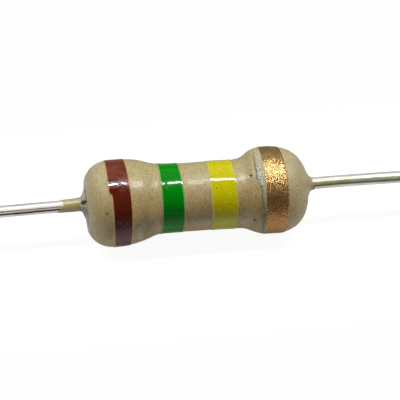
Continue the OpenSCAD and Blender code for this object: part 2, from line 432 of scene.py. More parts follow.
def make_turning_tree():
    """Turns a half section about X. Its points follow the coat's outline or lie about the lead's axis."""
    b, given = new_tree(
        "turning", "Geometry",
        {"Geometry": "Geometry", "Steps Round": STEPS_ROUND, "Lead Rise": LEAD_RISE,
         "Waist Radius": WAIST_R, "Bulge Radius": BULGE_R, "Waviness": 0.0,
         "Left Slant": 0.0, "Right Slant": 0.0, "Material": "Material"},
        {"Geometry": "Geometry"})
    section = given["Geometry"]
    mesh, row, angle = turning_grid(b, section, given["Steps Round"])
    point = sampled(b, section, row, b.made("GeometryNodeInputPosition"), "FLOAT_VECTOR")
    x, radius, _ = b.parts(point)
    on_coat, lead_share, neck_tip = [sampled(b, section, row, mesh_trait(b, name)) for name in SECTION_TRAITS]
    coat_radius, middle_y, middle_z = coat_at(b, given, x, angle, given["Waviness"])
    radius = radius + on_coat * coat_radius
    body_share = 1 - lead_share
    middle_y = middle_y * body_share
    middle_z = middle_z * body_share + given["Lead Rise"] * lead_share
    # Where the lacquer creeps along the wire it ends on a slant, with a ragged edge
    ragged = b.wander(ring(b, 0, angle, 0.3), 0.16, 0.8)
    slant = 0.2 - b.math("COSINE", b.math("RADIANS", angle) - math.radians(80)) + ragged
    on_right = b.math("GREATER_THAN", x, 0)
    size = given["Left Slant"] * (1 - on_right) + given["Right Slant"] * on_right
    x = x + neck_tip * size * slant
    place = around(b, x, radius, angle, middle_y, middle_z - lead_sag(b, x) * lead_share)
    mesh = stored(b, mesh, on_coat=on_coat)
    mesh = b.made("GeometryNodeSetPosition", {"Geometry": mesh, "Position": place})
    return finished(b, mesh, given["Material"])


def scar_width(b, angle):
    """The scar is narrow in front and wider further up."""
    return b.step(angle, 47, 62, 0.17, 0.3)


def make_flaws_tree():
    """The torn scar by the gold band, two pinholes, and the crease and hole at the left neck.

    The shares of the scar and of the crease and hole are stored on the mesh, for its finish.
    """
    b, given = new_tree(
        "lacquer_flaws", "Geometry",
        {"Geometry": "Geometry", "Scar Edge": GOLD_EDGES[0], "Scar Height": 0.014,
         "Chip Height": 0.035, "Pinhole Radius": 0.045, "Pinhole Depth": 0.07,
         "Crease Radius": CREASE_R, "Crease Depth": 0.05,
         "Hole Station": -4.39, "Hole Angle": 49.5, "Hole Length": 0.105,
         "Hole Breadth": 0.098, "Hole Depth": 0.13, "Lead Rise": LEAD_RISE},
        {"Geometry": "Geometry"})
    position = b.scaled(b.made("GeometryNodeInputPosition"), 1 / MM)
    x, y, z = b.parts(position)
    on_coat = mesh_trait(b, "on_coat")
    angle = b.angle(y, z)
    reach = b.reach(y, z)

    # The scar's far edge is torn open
    width = scar_width(b, angle) + b.step(angle, 20, -15, 0, 0.035)
    width = width + b.wander(position, 0.25, 0.07, detail=3)
    here = b.step(angle, -66, -40) * b.step(angle, 150, 120) * on_coat
    across = (x - given["Scar Edge"] + width) / width
    lifted = b.step(across, 0, 0.2) * b.step(across, 1.05, 0.8)
    torn = b.step(across, 0, 0.1) * b.step(across, 0.75, 0.4) * b.step(angle, 46, 56) * b.step(angle, 88, 74)
    chips = b.larger(b.noise(position, 0.075, detail=3, roughness=0.7) - 0.42, 0) * 3
    groove = b.crest(across, -0.08, 0.07) * -0.02
    lift = (lifted * given["Scar Height"] + torn * chips * given["Chip Height"] + groove) * here

    size = given["Pinhole Radius"]
    for pinhole_x, pinhole_angle in PINHOLES:
        away = b.reach(x - pinhole_x, (angle - pinhole_angle) * reach * ONE_DEGREE)
        pit = b.step(away, size * 1.25, size * 0.55) * given["Pinhole Depth"]
        lip = b.crest(away, size * 1.5, 0.02) * 0.004
        lift = lift + (lip - pit) * on_coat

    # At the left neck the crease gapes in front, above and below a hole that is open towards the front
    lead_z = z - given["Lead Rise"]
    lead_angle = b.angle(y, lead_z)
    lead_reach = b.reach(y, lead_z)
    sleeve_r = LEAD_R + 0.02
    at_neck = b.math("LESS_THAN", x, -4.2) * b.math("GREATER_THAN", lead_reach, sleeve_r)
    gaping = b.step(lead_angle, 150, 122) * b.step(lead_angle, 44, 52)
    gaping = gaping + b.step(lead_angle, -62, -40) * b.step(lead_angle, 22, 8)
    wander = b.wander(position, 0.25, 0.05)
    crease_radius = given["Crease Radius"] + b.step(lead_angle, 30, 0) * 0.09
    crease_radius = crease_radius + b.step(lead_angle, 60, 105) * 0.025
    crease = b.crest(reach + wander, crease_radius, 0.035) * gaping * at_neck
    hole_turn = b.math("RADIANS", lead_angle - given["Hole Angle"])
    along = (x - given["Hole Station"]) / given["Hole Length"]
    aside = b.math("SINE", hole_turn) * lead_reach / given["Hole Breadth"]
    facing = b.math("GREATER_THAN", b.math("COSINE", hole_turn), 0) * at_neck
    ragged = b.wander(position, 0.07, 0.5)
    hole = b.step(b.reach(along, aside) + ragged, 1.15, 0.65) * facing
    sunk = b.smaller(hole * given["Hole Depth"], b.larger(lead_reach - sleeve_r, 0))

    outwards = b.scaled(b.joined(0, y / reach, z / reach), lift)
    inwards = b.scaled(b.joined(0, y / lead_reach, lead_z / lead_reach), sunk * -1)
    into_body = b.joined(crease * given["Crease Depth"], 0, 0)
    offset = b.scaled(b.vector_math("ADD", b.vector_math("ADD", outwards, inwards), into_body), MM)
    mesh = stored(b, given["Geometry"], scar_share=here, scar_across=across,
                  crease_share=crease, hole_share=hole)
    return b.put_out(Geometry=b.made("GeometryNodeSetPosition", {"Geometry": mesh, "Offset": offset}))


def make_paint_ring_tree():
    """A ring of paint that follows the coat, with a soft edge that wanders and may step back on one side."""
    b, given = new_tree(
        "paint_ring", "Geometry",
        {"Geometry": "Geometry", "Steps Round": STEPS_ROUND,
         "Left Edge": 0.0, "Right Edge": 1.0, "Paint Thickness": 0.015,
         "Edge Wander": 0.014, "Left Bow": 0.02, "Right Bow": 0.09,
         "Left Lean": 0.0, "Step Back": 0.0,
         "Step From": -120.0, "Step To": 57.0,
         "Waist Radius": WAIST_R, "Bulge Radius": BULGE_R, "Waviness": 0.006,
         "Seed": 0.0, "Material": "Material"},
        {"Geometry": "Geometry"})
    section = given["Geometry"]
    mesh, row, angle = turning_grid(b, section, given["Steps Round"])
    point = sampled(b, section, row, b.made("GeometryNodeInputPosition"), "FLOAT_VECTOR")
    across, skin, _ = b.parts(point)

    def wandering(edge, seed):
        place = ring(b, seed, angle, 1.5)
        broad = b.noise(place, 0.9, detail=1) - 0.5
        fine = b.noise(place, 0.16, detail=3) - 0.5
        return edge + given["Edge Wander"] * (broad * 1.6 + fine * 1.1)

    stepped = b.step(angle, given["Step From"] - 6, given["Step From"] + 2)
    stepped = stepped * b.step(angle, given["Step To"] + 3, given["Step To"] - 4)
    # The wheel that rolls the paint on leaves each ring a little bowed
    bowed = 1 - b.crest(angle, 44, 60)
    lean = b.math("SINE", b.math("RADIANS", angle) - math.radians(44)) * given["Left Lean"]
    left = wandering(given["Left Edge"], given["Seed"]) + given["Step Back"] * stepped
    left = left + lean - given["Left Bow"] * bowed
    right = wandering(given["Right Edge"], given["Seed"] + 7.3) - given["Right Bow"] * bowed
    x = left + (right - left) * across
    radius, middle_y, middle_z = coat_at(b, given, x, angle, given["Waviness"])
    # Paint draws back from its edge and stands a little thicker just inside it
    from_edge = b.smaller(across, 1 - across) * (right - left)
    rounded = b.math("SQRT", b.larger(1 - (1 - b.smaller(from_edge / 0.05, 1)) ** 2, 0))
    bead = b.crest(from_edge, 0.06, 0.03) * 0.3
    lift = (rounded + bead) * given["Paint Thickness"] * skin - (1 - skin) * 0.012
    place = around(b, x, radius + lift, angle, middle_y, middle_z)
    mesh = stored(b, mesh, from_edge=from_edge)
    mesh = b.made("GeometryNodeSetPosition", {"Geometry": mesh, "Position": place})
    return finished(b, mesh, given["Material"])


def make_crumbs_tree():
    """Chips of lacquer that cling to the torn part of the scar, from a fixed seed."""
    b, given = new_tree(
        "scar_crumbs", "Geometry",
        {"Geometry": "Geometry", "Count": 80, "Seed": 7,
         "Scar Edge": GOLD_EDGES[0], "Angle From": 50.0, "Angle To": 76.0,
         "Smallest": 0.025, "Largest": 0.065,
         "Waist Radius": WAIST_R, "Bulge Radius": BULGE_R, "Material": "Material"},
        {"Geometry": "Geometry"})

    def chance(low, high, draw):
        return b.made("FunctionNodeRandomValue", {
            "Min_001": low, "Max_001": high, "Seed": given["Seed"] + draw}, "Value_001", data_type="FLOAT")

    angle = chance(given["Angle From"], given["Angle To"], 1)
    x = given["Scar Edge"] - scar_width(b, angle) * chance(0.45, 1, 2)
    radius, middle_y, middle_z = coat_at(b, given, x, angle, 0)
    place = around(b, x, radius + chance(0.008, 0.035, 3), angle, middle_y, middle_z)
    points = b.made("GeometryNodePoints", {"Count": given["Count"], "Position": place})
    chip = b.made("GeometryNodeMeshIcoSphere", {"Radius": 0.5, "Subdivisions": 1}, "Mesh")
    size = chance(given["Smallest"], given["Largest"], 4)
    scale = b.joined(size * chance(0.7, 1.5, 5), size * chance(0.7, 1.5, 6), size * chance(0.4, 0.9, 7))
    turn = b.joined(chance(0, math.tau, 8), chance(0, math.tau, 9), chance(0, math.tau, 10))
    chips = b.made("GeometryNodeInstanceOnPoints", {
        "Points": points, "Instance": chip, "Scale": scale, "Rotation": turn})
    return finished(b, chips, given["Material"])


def half_section(name, points, traits=()):
    """A mesh of loose points along a half section: (x, radius), then one value for each trait."""
    mesh = bpy.data.meshes.new(name)
    mesh.from_pydata([(p[0], p[1], 0) for p in points], [], [])
    for i, trait in enumerate(traits):
        attribute = mesh.attributes.new(trait, "FLOAT", "POINT")
        attribute.data.foreach_set("value", [float(p[2 + i]) for p in points])
    return mesh


def shaped(name, mesh, trees, sharp=40.0):
    """Runs the trees on the mesh, one after another, and leaves a plain closed mesh on the object."""
    piece = bpy.data.objects.new(name, mesh)
    bpy.context.scene.collection.objects.link(piece)
    for tree, sizes in trees:
        modifier = piece.modifiers.new(tree.name, "NODES")
        modifier.node_group = tree
        for item in tree.interface.items_tree:
            if item.in_out == "INPUT" and item.name in sizes:
                modifier[item.identifier] = sizes[item.name]
    depsgraph = bpy.context.evaluated_depsgraph_get()
    result = bpy.data.meshes.new_from_object(piece.evaluated_get(depsgraph))
    piece.modifiers.clear()
    piece.data = result
    result.name = name
    if enclosed(result) < 0:
        result.flip_normals()
    result.polygons.foreach_set("use_smooth", [True] * len(result.polygons))
    result.set_sharp_from_angle(angle=math.radians(sharp))
    return piece


def enclosed(mesh):
    """Volume inside a closed mesh, which is negative where its faces point inwards."""
    total = 0
    for face in mesh.polygons:
        corners = [mesh.vertices[v].co for v in face.vertices]
        for i in range(1, len(corners) - 1):
            total += corners[0].dot(corners[i].cross(corners[i + 1]))
    return total / 6


# Half sections

def coat_radius(x):
    """The outline tree's rule without its unevenness, for choosing where the half section has points."""
    def shoulder(past, softness):
        return 1 / (1 + math.exp(past / softness[0 if past < 0 else 1]))

    side = WAIST_R + (BULGE_R - WAIST_R) * (shoulder(LEFT_SHOULDER_X + x, (0.3, 0.22))
                                            + shoulder(RIGHT_SHOULDER_X - x, (0.155, 0.14)))
    if x < -LEFT_CROWN_X:
        t = (-x - LEFT_CROWN_X) / LEFT_ROUND_LEN
        return LEFT_FLAT_R + (side - LEFT_FLAT_R) * math.sqrt(max(0, 1 - t ** LEFT_FULLNESS))
    if x > RIGHT_CROWN_X:
        t = (x - RIGHT_CROWN_X) / RIGHT_ROUND_LEN
        return RIGHT_FLAT_R + (side - RIGHT_FLAT_R) * math.sqrt(max(0, 1 - t ** RIGHT_FULLNESS))
    return side


def soft_step(value, start, end):
    t = min(1, max(0, (value - start) / (end - start)))
    return t * t * (3 - 2 * t)


def side_stations():
    """Places along X between the crowns, closer together where the coat has small flaws."""
    x = -LEFT_CROWN_X
    places = []
    while x < RIGHT_CROWN_X:
        places.append(x)
        fine = 2.19 < x < 2.59 or 2.03 < x < 2.17
        x += 0.017 if fine else 0.03 if -2.26 < x < -2.04 else 0.055
    return places


def smooth_path(points, steps):
    """A smooth curve through the points, with the same number of steps between each two of them."""
    path = []
    for i in range(len(points) - 1):
        near = [points[min(max(i + k, 0), len(points) - 1)] for k in (-1, 0, 1, 2)]
        for j in range(steps):
            t = j / steps
            weights = (-0.5 * t + t * t - 0.5 * t ** 3, 1 - 2.5 * t * t + 1.5 * t ** 3,
                       0.5 * t + 2 * t * t - 1.5 * t ** 3, -0.5 * t * t + 0.5 * t ** 3)
            path.append(tuple(sum(w * p[k] for w, p in zip(weights, near)) for k in (0, 1)))
    return path + [points[-1]]


def lead_share(radius):
    """How far a ring near the ends is centred on the lead and not on the body."""
    return 1 - soft_step(radius, 0.3, 1.1)


def neck_section(length, hollow, sign):
    """Points of a neck from its tip, along its sleeve and hollow, to the body."""
    tip_x = HALF_LEN + length
    lip = [(tip_x, LEAD_R, 1), (tip_x - 0.012, LEAD_R + 0.011, 1), (tip_x - 0.035, LEAD_R + 0.018, 0.95)]
    end_x = hollow[0][0]
    steps = max(1, round((tip_x - NECK_LIP - end_x) / 0.06))
    sleeve = []
    for i in range(steps):
        t = i / steps
        x = tip_x - NECK_LIP + (end_x - tip_x + NECK_LIP) * t
        sleeve.append((x, LEAD_R + NECK_TIP_COVER + (NECK_ROOT_COVER - NECK_TIP_COVER) * t,
                       1 - soft_step(tip_x - x, 0.05, 0.4)))
    curve = [(x, r, 0) for x, r in smooth_path(hollow, 4)]
    return [(sign * x, r, 0, lead_share(r), tip * sign) for x, r, tip in lip + sleeve + curve]


def coat_section():
    """The coat's half section as a closed loop: outside from left to right, then back along the core."""
    left_neck = neck_section(LEFT_NECK_LEN, LEFT_HOLLOW, -1)
    right_neck = neck_section(RIGHT_NECK_LEN, RIGHT_HOLLOW, 1)
    turns = [math.radians(90 * (i / 44) ** 1.25) for i in range(1, 44)]
    left_end = [-LEFT_CROWN_X - LEFT_ROUND_LEN * math.cos(a) for a in turns]
    right_end = [RIGHT_CROWN_X + RIGHT_ROUND_LEN * math.cos(a) for a in turns[::-1]]
    left_end = [x for x in left_end if coat_radius(x) > LEFT_HOLLOW[-1][1] + 0.06]
    right_end = [x for x in right_end if coat_radius(x) > RIGHT_HOLLOW[-1][1] + 0.05]
    sides = [(x, 0, 1, lead_share(coat_radius(x)), 0) for x in left_end + side_stations() + right_end]
    outside = left_neck + sides + right_neck[::-1]

    def core(sign):
        corner = [(CAP_FACE_X - CAP_CORNER * (1 - math.sin(math.radians(a))),
                   CAP_R - CAP_CORNER * (1 - math.cos(math.radians(a)))) for a in (90, 60, 30, 0)]
        bore = [(CAP_FACE_X + WELD_LEN, LEAD_R + WELD_SWELL), (CAP_FACE_X, WELD_R)]
        cap = corner + [(CAP_RIM_X, CAP_R), (CAP_RIM_X, FILM_R)]
        return ([(sign * x, r, 0, 1, 0) for x, r in bore] + [(sign * x, r, 0, 0, 0) for x, r in cap])

    inside = core(1) + core(-1)[::-1]
    return outside + inside + outside[:1]


def lead_section(sign, neck_len):
    """A lead from the middle of its weld to the middle of its tip."""
    neck_tip = HALF_LEN + neck_len
    wire = [neck_tip + (LEAD_TIP_X - TIP_BEVEL - neck_tip) * i / 40 for i in range(41)]
    points = [(CAP_FACE_X, 0), (CAP_FACE_X, WELD_R), (CAP_FACE_X + WELD_LEN, LEAD_R + WELD_SWELL)]
    points += [(x, LEAD_R) for x in wire]
    points += [(LEAD_TIP_X - TIP_BEVEL * 0.3, LEAD_R - TIP_BEVEL * 0.35), (LEAD_TIP_X, LEAD_R - TIP_BEVEL),
               (LEAD_TIP_X, 0)]
    return [(sign * x, r, 0, 1, 0) for x, r in points]


def paint_section():
    """Across a ring of paint: its outer skin from edge to edge, then its inner skin back."""
    near = [0, 0.004, 0.012, 0.024, 0.038, 0.055, 0.075, 0.1, 0.13]
    middle = [0.13 + 0.74 * i / 14 for i in range(1, 14)]
    outer = near + middle + [1 - s for s in near[::-1]]
    inner = [1 - i / 8 for i in range(9)]
    return [(s, 1) for s in outer] + [(s, 0) for s in inner] + [(0, 1)]


# Shader groups shared by the finishes

def make_place_tree():
    """Where a point lies on the body: its place along X and its angle round it."""
    b, given = new_tree(
        "place_on_body", "Shader", {"Place": "Vector"}, {"Station": "Float", "Angle": "Float"})
    x, y, z = b.parts(given["Place"])
    return b.put_out(Station=x, Angle=b.angle(y, z))


def make_unevenness_tree():
    """A dipped or rolled-on film: slow flow round the body, and a fine skin, as shade and as height."""
    b, given = new_tree(
        "film_unevenness", "Shader",
        {"Place": "Vector", "Flow Size": 0.5, "Skin Size": 0.06, "Skin Share": 0.4},
        {"Shade": "Float", "Height": "Float"})
    x, y, z = b.parts(given["Place"])
    flow_place = b.joined(x * 1.6, y, z)
    flow = b.noise(b.scaled(flow_place, 1 / given["Flow Size"]), 1)
    skin = b.noise(b.scaled(given["Place"], 1 / given["Skin Size"]), 1, detail=3, roughness=0.6)
    return b.put_out(Shade=flow, Height=flow * (1 - given["Skin Share"]) + skin * given["Skin Share"])


def make_speck_tree():
    """A small ragged spot at a place along X and an angle round the body."""
    b, given = new_tree(
        "speck", "Shader",
        {"Place": "Vector", "Station": 0.0, "Angle": 0.0, "Length": 0.05, "Breadth": 0.05},
        {"Mask": "Float"})
    x, y, z = b.parts(given["Place"])
    angle = b.angle(y, z)
    reach = b.reach(y, z)
    ragged = b.wander(given["Place"], 0.05, 0.9)
    along = (x - given["Station"]) / given["Length"]
    round_it = (angle - given["Angle"]) * reach * ONE_DEGREE / given["Breadth"]
    away = b.reach(along, round_it) + ragged
    return b.put_out(Mask=b.step(away, 1.1, 0.6))


def make_lit_side_tree():
    """A mask round the body from one angle to another, for a painted sheen on the upper side and for painted
    shade low in front.
    """
    b, given = new_tree(
        "lit_side_mask", "Shader", {"Place": "Vector", "Angle From": 50.0, "Angle To": 90.0},
        {"Mask": "Float"})
    _, y, z = b.parts(given["Place"])
    angle = b.angle(y, z)
    return b.put_out(Mask=b.step(angle, given["Angle From"], given["Angle To"]) * b.step(angle, 175, 135))


def make_grain_tree():
    """The fine grain in a finish, as the share of its dark grains and of its pale ones."""
    b, given = new_tree(
        "fine_grain", "Shader", {"Place": "Vector", "Size": 0.05}, {"Dark": "Float", "Pale": "Float"})
    grain = b.noise(b.scaled(given["Place"], 1 / given["Size"]), 1)
    return b.put_out(Dark=b.step(grain, 0.51, 0.7), Pale=b.step(grain, 0.47, 0.29))


place_tree = make_place_tree()
grain_tree = make_grain_tree()
lit_side_tree = make_lit_side_tree()
unevenness_tree = make_unevenness_tree()
speck_tree = make_speck_tree()


# Finishes

def new_finish(name):
    """A material, the bench for its nodes, and the point on the piece in millimetres."""
    material = bpy.data.materials.new(name)
    material.use_nodes = True
    material.node_tree.nodes.clear()
    b = Bench(material.node_tree)
    return material, b, b.scaled(b.made("ShaderNodeTexCoord", out="Object"), 1 / MM)


def dressed(material, b, **sockets):
    """Gives the material its shader. An underscore stands for the space in a socket's name."""
    surface = b.node("ShaderNodeBsdfPrincipled")
    for name, value in sockets.items():
        b.feed(surface, name.replace("_", " "), value)
    b.node("ShaderNodeOutputMaterial", {"Surface": b.figure(surface)})
    return material


def raised(b, height, distance):
    """A bump normal; the distance is in millimetres."""
    return b.made("ShaderNodeBump", {"Height": height, "Strength": 1, "Distance": distance * MM})


def trait(b, name):
    """A value that a piece's tree has stored on its mesh."""
    return b.made("ShaderNodeAttribute", out="Fac", attribute_name=name)


def specks(b, place, marks):
    """Small ragged spots, as coats. A mark is (station, angle, length, breadth, colour)."""
    return [(b.group(speck_tree, Place=place, Station=x, Angle=angle, Length=length, Breadth=breadth), tint)
            for x, angle, length, breadth, tint in marks]


def scar_coats(b, place, angle):
    """The scar is bleached and chipped, and darker lower down. Along the edge that it tore from it is painted
    dark, a painted shade beside its groove.
    """
    here = trait(b, "scar_share")
    across = trait(b, "scar_across")
    bleached = b.step(across, 0, 0.12) * b.step(across, 1.1, 0.95) * here
    patchy = b.step(b.noise(place, 0.12, detail=3, roughness=0.65), 0.36, 0.6)
    pale = b.mixed(b.step(angle, 50, 12), (0.38, 0.37, 0.23), (0.17, 0.175, 0.11))
    flecks = b.step(b.noise(place, 0.06, detail=3, roughness=0.75), 0.52, 0.6) * bleached
    chipped = b.step(across, 0.72, 0.45) * b.step(angle, 48, 56) * b.step(angle, 84, 72)
    # The dark along the torn edge is a painted shade beside the groove
    torn = b.crest(across, b.ramp(angle, 20, 60, 0.14, -0.05), b.ramp(angle, 30, 55, 0.2, 0.09)) * here
    torn = torn * b.step(b.noise(place, 0.15, detail=3), 0.28, 0.55) * b.step(angle, 112, 90)
    return bleached, [
        (bleached * (patchy * 0.6 + 0.25), pale),
        (flecks * (chipped * 0.5 + 0.45), (0.86, 0.88, 0.8)),
        (torn * 0.78, (0.12, 0.12, 0.085))]


def bruise_and_shade_coats(b, place, angle, hue):
    """Round the left neck the lacquer is grey and bruised. Under the neck, in the gap where it gapes, along
    the crease and in the hole it is painted dark: painted shade.
    """
    x, y, z = b.parts(place)
    reach = b.reach(y, z)
    bruised = b.step(reach, 1.5, 1) * b.step(x, -3.85, -4.15) * b.step(x, -4.62, -4.45)
    # Dark under the neck, in the gap, along the crease and in the hole: painted shade
    under = b.larger(b.step(reach, 0.6, 0.5), b.step(reach, 0.86, 0.7) * b.step(angle, 4, 22))
    under = under * b.step(angle, 48, 32) * b.step(x, -4.2, -4.26) * b.step(x, -4.62, -4.52)
    gap = b.step(reach, 0.68, 0.8) * b.step(reach, 1.05, 0.9) * b.step(x, -4.19, -4.225)
    gap = gap * b.step(angle, -22, 2) * b.step(angle, 38, 20)
    above = b.step(angle, 30, 50)
    crease = b.step(trait(b, "crease_share"), 0.1 + above * 0.2, 0.6 + above * 0.3)
    mottled = b.mixed(b.step(b.noise(place, 0.06), 0.4, 0.62), (0.04, 0.025, 0.014), (0.16, 0.11, 0.06))
    return [
        (bruised * b.step(hue, 0.3, 0.6) * 0.65, (0.56, 0.55, 0.46)),
        (under * b.step(hue, 0.3, 0.6, 0.6, 0.85), (0.17, 0.145, 0.12)),
        (gap * b.step(hue, 0.25, 0.5, 0.75, 0.95), (0.1, 0.095, 0.078)),
        (crease * 0.85, (0.06, 0.055, 0.045)),
        (b.step(trait(b, "hole_share"), 0.2, 0.7) * 0.95, mottled)]


def make_tan_lacquer():
    """Buff lacquer: satin, faintly clouded and streaked by dipping, with the marks of the coat's flaws."""
    material, b, place = new_finish("tan_lacquer")
    x, y, z = b.parts(place)
    station, angle = b.group(place_tree, Place=place)
    shade, height = b.group(unevenness_tree, Place=place, Flow_Size=0.3, Skin_Size=0.05, Skin_Share=0.5)
    dark_grain, pale_grain = b.group(grain_tree, Place=place, Size=GRAIN_SIZE)
    # The upper side is painted paler and greyer, a painted sheen
    painted_sheen = b.group(lit_side_tree, Place=place, Angle_From=45, Angle_To=88)
    cloudy = b.noise(place, 0.9, detail=3)
    hue = b.noise(place, 0.16, detail=3, roughness=0.6)
    streaks = b.noise(b.joined(x * 3, y * 0.6, z * 0.6), 0.16, detail=3)
    grained = b.step(hue, 0.36, 0.6, 0.45, 0.9)
    # It lies thin and pale over the caps at the ends, and their tops are painted paler still, a painted sheen
    thin = b.step(station, -3.2, -3.9) * 0.35 + b.step(station, 3.1, 3.6)
    ends = b.step(station, -3.35, -3.85) * b.step(angle, 70, 90)
    ends = ends + b.step(station, 3.3, 3.7) * b.step(angle, 50, 68)
    # Low in front it is painted lighter on the left and browner on the right: painted light and painted shade
    painted_light_low = b.crest(angle, 31, 10) * b.step(station, -0.9, -1.8) * b.step(station, -3.4, -2.7)
    painted_shade_low = b.crest(angle, 18, 16) * b.step(station, -1.2, 1.2)
    painted_shade_low = painted_shade_low + b.crest(angle, 4, 10) * b.step(station, -2.9, -2.4) * b.step(station, 0.8, -0.6)
    # Painted pale in three places, high up in front where the highlight falls: a painted highlight
    painted_pale_highlight = b.band(station, -2.33, 0.26, 0.05) + b.band(station, 0.02, 0.4, 0.1) * 0.75
    painted_pale_highlight = (painted_pale_highlight + b.band(station, 1.8, 0.2, 0.06) * 0.8) * b.band(angle, 68.5, 4, 1.5)
    # A greener stain beside the left rim, low down in front
    stain = b.crest(station, -2.12, 0.2) * b.step(angle, 50, 20) * b.step(angle, -40, 0)
    stain = stain * b.step(b.noise(place, 0.3), 0.25, 0.6)
    # Yellower where it thins out on the leads
    neck = b.step(x, -4.4, -4.52) + b.step(x, 4.42, 4.52) * 0.3
    # On the necks the top is painted paler and greener and the underside browner: painted sheen and painted
    # shade
    neck_colour = b.overlaid((0.54, 0.43, 0.135), [
        (b.step(angle, 60, 95), (0.47, 0.44, 0.25)),
        (b.step(angle, 42, 14), (0.45, 0.28, 0.11))])
    bleached, scar = scar_coats(b, place, angle)
    pits = [(pinhole_x, pinhole_angle, 0.045, 0.045, PIT_COLOUR) for pinhole_x, pinhole_angle in PINHOLES]
    colour = b.overlaid((0.5, 0.362, 0.14), [
        (b.step(cloudy, 0.35, 0.65), (0.48, 0.355, 0.142)),
        (b.step(hue, 0.35, 0.65), (0.5, 0.385, 0.175)),
        (b.step(hue, 0.62, 0.42) * 0.6, (0.5, 0.33, 0.155)),
        (thin, (0.56, 0.45, 0.235)),
        (painted_sheen * b.step(hue, 0.2, 0.6), (0.465, 0.41, 0.195)),
        (ends * 0.5, (0.6, 0.52, 0.325)),
        (painted_light_low * 0.75, (0.66, 0.45, 0.16)),
        (painted_shade_low * b.step(station, 3.3, 2.7) * 0.65, (0.34, 0.24, 0.055)),
        (b.step(streaks, 0.55, 0.75) * 0.3, (0.38, 0.27, 0.1)),
        (painted_pale_highlight * b.step(hue, 0.38, 0.52) * 0.7, (0.74, 0.66, 0.42)),
        (dark_grain * grained, (0.28, 0.19, 0.065)),
        (pale_grain * grained, (0.68, 0.575, 0.325)),
        (stain * 0.6, (0.22, 0.21, 0.09)),
        (neck * 0.8, neck_colour),
        *scar, *bruise_and_shade_coats(b, place, angle, hue), *specks(b, place, pits + [
            # The two pale specks beside the pinholes are painted highlights on their rims
            (2.005, 67.4, 0.025, 0.018, (0.95, 0.93, 0.85)), (2.07, 0.6, 0.018, 0.014, (0.8, 0.75, 0.65)),
            (0.21, 30, 0.028, 0.02, PIT_COLOUR), (0.33, 26, 0.02, 0.028, PIT_COLOUR),
            (0.12, 24, 0.02, 0.02, PIT_COLOUR), (-3.62, 31.5, 0.11, 0.08, (0.33, 0.235, 0.1)),
            (-3.6, 32.5, 0.05, 0.035, (0.2, 0.13, 0.05))])])
    # It is glossier in patches, where the varnish lies thick beside the bands
    thick = b.crest(station, -2.35, 0.2) + b.crest(station, -1.62, 0.1) + b.crest(station, 1.76, 0.2)
    thick = thick + b.crest(station, 0, 0.45) * 0.7
    gloss = thick * b.step(b.noise(place, 0.15, detail=4, roughness=0.7), 0.36, 0.6)
    roughness = b.ramp(shade, 0.32, 0.68, 0.32, 0.56) - gloss * 0.06 + bleached * 0.1 - neck * 0.2
    return dressed(material, b, Base_Color=colour, Roughness=roughness, Normal=raised(b, height, 0.02),
                   IOR=1.5, Coat_Weight=gloss * 0.85 + b.step(x, -4.4, -4.52) * 0.8, Coat_Roughness=0.38,
                   Coat_IOR=1.75)


